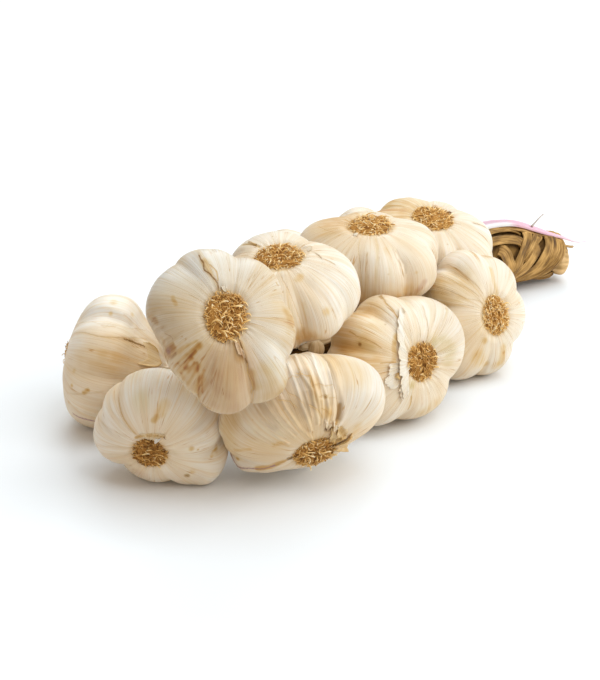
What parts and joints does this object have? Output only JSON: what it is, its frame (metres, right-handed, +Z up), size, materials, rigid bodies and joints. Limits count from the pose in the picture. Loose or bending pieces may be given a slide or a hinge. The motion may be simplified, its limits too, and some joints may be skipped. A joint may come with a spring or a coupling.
{
  "type": "garlic braid",
  "caption": "Whole garlic bulbs plaited into a bunch by their dried stems, lying on its side with the roots outwards and the wound stem end at the back.",
  "frame": {"origin": "middle of the bounding box, on the surface it lies on", "axes": "+X along the braid from its free bulb end to the tip of its stems, +Y to its far side, +Z up"},
  "size_m": [0.3512, 0.163, 0.114],
  "materials": {
    "bulb_skin": "dry papery skin, cream with tan veins and brown stains",
    "roots": "tuft of dry curled trimmed roots",
    "dry_stem": "dry flattened leaf stems, fibrous, matt",
    "pink_sheath": "thin dry leaf sheath, pink to white"
  },
  "bodies": {
    "root": {"bulb_front_top": "bulb_skin", "bulb_front_low": "bulb_skin", "bulb_near_1": "bulb_skin", "bulb_near_2": "bulb_skin", "bulb_near_3": "bulb_skin", "bulb_far_1": "bulb_skin", "bulb_far_2": "bulb_skin", "bulb_far_3": "bulb_skin", "bulb_far_4": "bulb_skin", "bulb_top_1": "bulb_skin", "bulb_top_2": "bulb_skin", "bulb_top_3": "bulb_skin", "roots_front_top": "roots", "roots_front_low": "roots", "roots_near_1": "roots", "roots_near_2": "roots", "roots_near_3": "roots", "roots_far_1": "roots", "roots_far_2": "roots", "roots_far_3": "roots", "roots_far_4": "roots", "roots_top_1": "roots", "roots_top_2": "roots", "roots_top_3": "roots", "strand_1": "dry_stem", "strand_2": "dry_stem", "strand_3": "dry_stem", "wound_leaves": "dry_stem", "stem_end": "dry_stem", "pink_sheath": "pink_sheath"}
  },
  "joints": []
}
